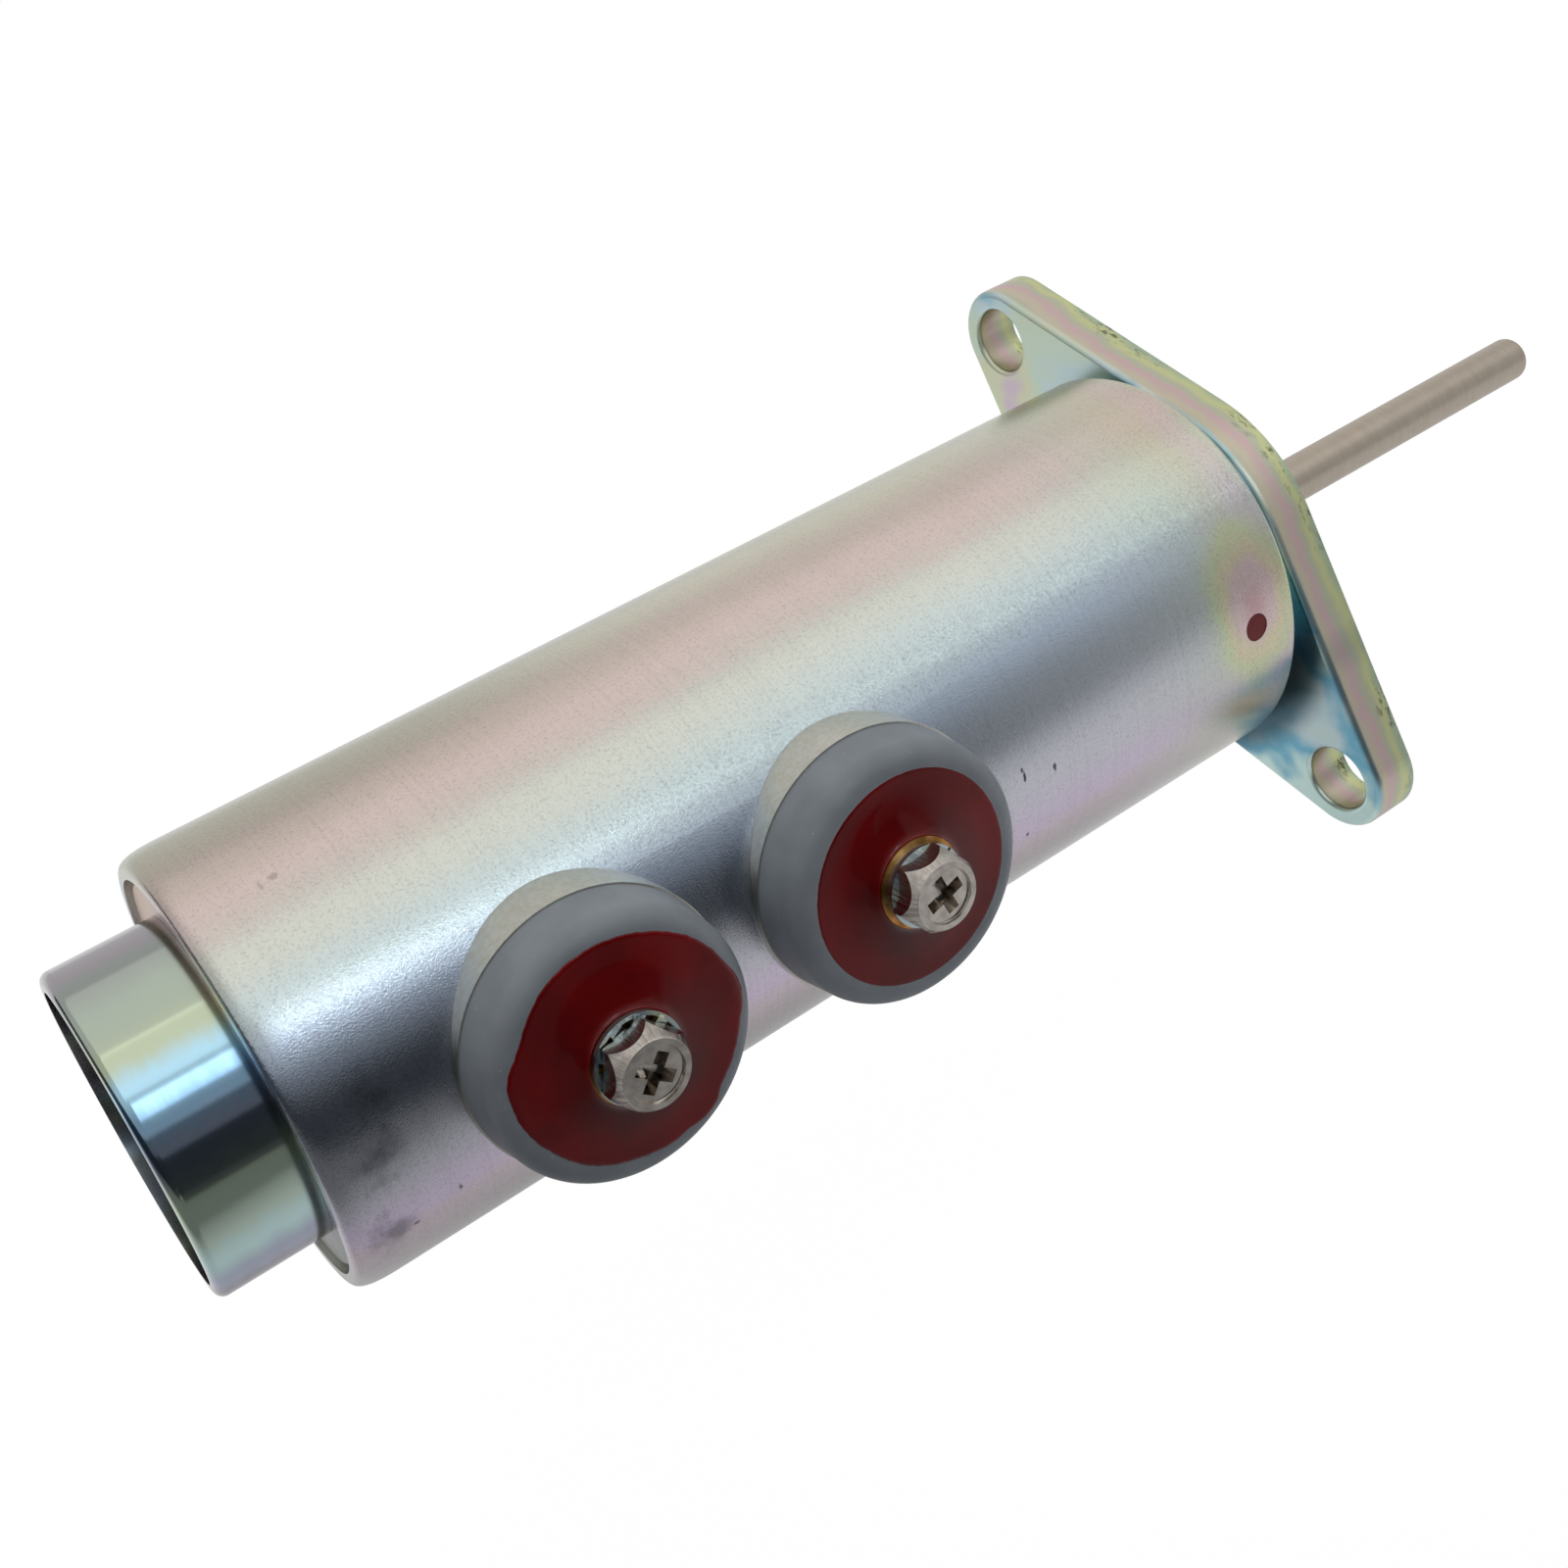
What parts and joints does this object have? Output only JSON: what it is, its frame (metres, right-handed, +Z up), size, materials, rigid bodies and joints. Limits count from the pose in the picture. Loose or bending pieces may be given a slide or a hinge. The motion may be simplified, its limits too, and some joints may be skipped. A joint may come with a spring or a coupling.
{
  "type": "fuel shutoff solenoid",
  "caption": "Push-type fuel shutoff solenoid: long plated steel housing, two-bolt flange, spring-returned push rod and side screw terminals.",
  "frame": {"origin": "centre of the flange's outer mounting face, on the push rod's axis", "axes": "+X along the push rod, the way it pushes; the terminals face -Y; +Z is up"},
  "size_m": [0.2107, 0.0686, 0.0652],
  "materials": {
    "zinc_housing": "satin clear-chromate zinc over turned steel",
    "zinc_flange": "iridescent chromate zinc over stamped steel",
    "zinc_plate": "iridescent chromate zinc over turned steel",
    "zinc_collar": "bright chromate zinc over fine-turned steel",
    "zinc_washer": "bright blue chromate zinc",
    "red_compound": "glossy sealing compound",
    "grey_insulator": "moulded phenolic, semi-matt",
    "brass_turned": "turned",
    "bronze_bush": "sintered bronze, oiled",
    "nickel_screw": "nickel plated, cold headed",
    "nickel_plunger": "nickel plated, ground",
    "satin_rod": "satin ground",
    "spring_steel": "phosphated and oiled",
    "black_rubber": "moulded",
    "nylon_bobbin": "moulded glass-filled nylon",
    "copper_wire": "enamelled copper wire",
    "insulating_wrap": "adhesive film tape",
    "tinned_wire": "tinned copper"
  },
  "bodies": {
    "solenoid": {"housing": "zinc_housing", "fill_hole_seal": "red_compound", "mounting_flange": "zinc_flange", "front_pole": "zinc_collar", "pole_shim": "brass_turned", "rear_end_plate": "zinc_plate", "rear_collar": "zinc_collar", "retaining_ring": "spring_steel", "stop_washer": "zinc_plate", "buffer_ring": "black_rubber", "rod_bush": "bronze_bush", "rod_wiper": "black_rubber", "return_spring": "spring_steel", "guide_sleeve": "brass_turned", "coil_bobbin": "nylon_bobbin", "pull_in_winding": "copper_wire", "hold_in_winding": "copper_wire", "coil_wrap": "insulating_wrap", "tooth_washer": "zinc_washer", "spring_washer": "zinc_washer", "coil_lead_1": "tinned_wire", "terminal_boss_1": "zinc_housing", "insulator_1": "grey_insulator", "potting_1": "red_compound", "terminal_insert_1": "brass_turned", "terminal_screw_1": "nickel_screw", "coil_lead_2": "tinned_wire", "terminal_boss_2": "zinc_housing", "insulator_2": "grey_insulator", "potting_2": "red_compound", "terminal_insert_2": "brass_turned", "terminal_screw_2": "nickel_screw"},
    "plunger_and_rod": {"plunger": "nickel_plunger", "push_rod": "satin_rod"}
  },
  "joints": [
    {"name": "rod_slide", "type": "slide", "parent": "solenoid", "child": "plunger_and_rod", "axis": [1, 0, 0], "range_m": [0, 0.025], "stiffness_N_per_m": 600, "springref_m": -0.02, "deforming": ["return_spring"]}
  ]
}
